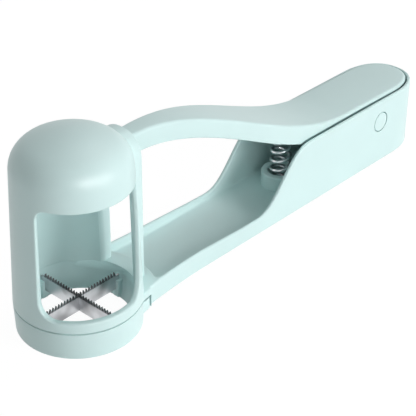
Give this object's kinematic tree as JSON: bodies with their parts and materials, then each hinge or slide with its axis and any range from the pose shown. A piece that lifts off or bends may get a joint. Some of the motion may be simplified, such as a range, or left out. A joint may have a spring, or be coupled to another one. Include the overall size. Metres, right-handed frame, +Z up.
{
  "type": "grape slicer",
  "caption": "Hand-held fruit quarterer: a domed head with an open window stands over crossed serrated blades, and a sprung lever drives a plunger down through it.",
  "frame": {"origin": "on the head's axis, at the foot of the base ring", "axes": "+X from the head towards the handle's end, +Z up from the foot to the dome"},
  "size_m": [0.2007, 0.0442, 0.0729],
  "materials": {
    "mint_plastic": "satin moulded",
    "blade_steel": "brushed",
    "spring_steel": "bright drawn wire",
    "pin_steel": "turned"
  },
  "bodies": {
    "frame": {"body": "mint_plastic", "return_spring": "spring_steel", "pivot_pin": "pin_steel", "pin_plug_near": "mint_plastic", "pin_plug_far": "mint_plastic"},
    "lever": {"lever": "mint_plastic", "plunger": "mint_plastic", "plunger_screw": "pin_steel"},
    "blade_ring": {"base_ring": "mint_plastic", "blade_long": "blade_steel", "blade_cross": "blade_steel"}
  },
  "joints": [
    {"name": "lever_squeeze", "type": "hinge", "parent": "frame", "child": "lever", "pos_m": [0.1503, 0, 0.0218], "axis": [0, -1, 0], "range_deg": [0, 16.5], "stiffness_Nm_per_rad": 2, "springref_deg": -14.32, "deforming": ["return_spring"]},
    {"name": "blade_ring_release", "type": "slide", "parent": "frame", "child": "blade_ring", "axis": [0, 0, -1], "range_m": [0, 0.025]}
  ]
}
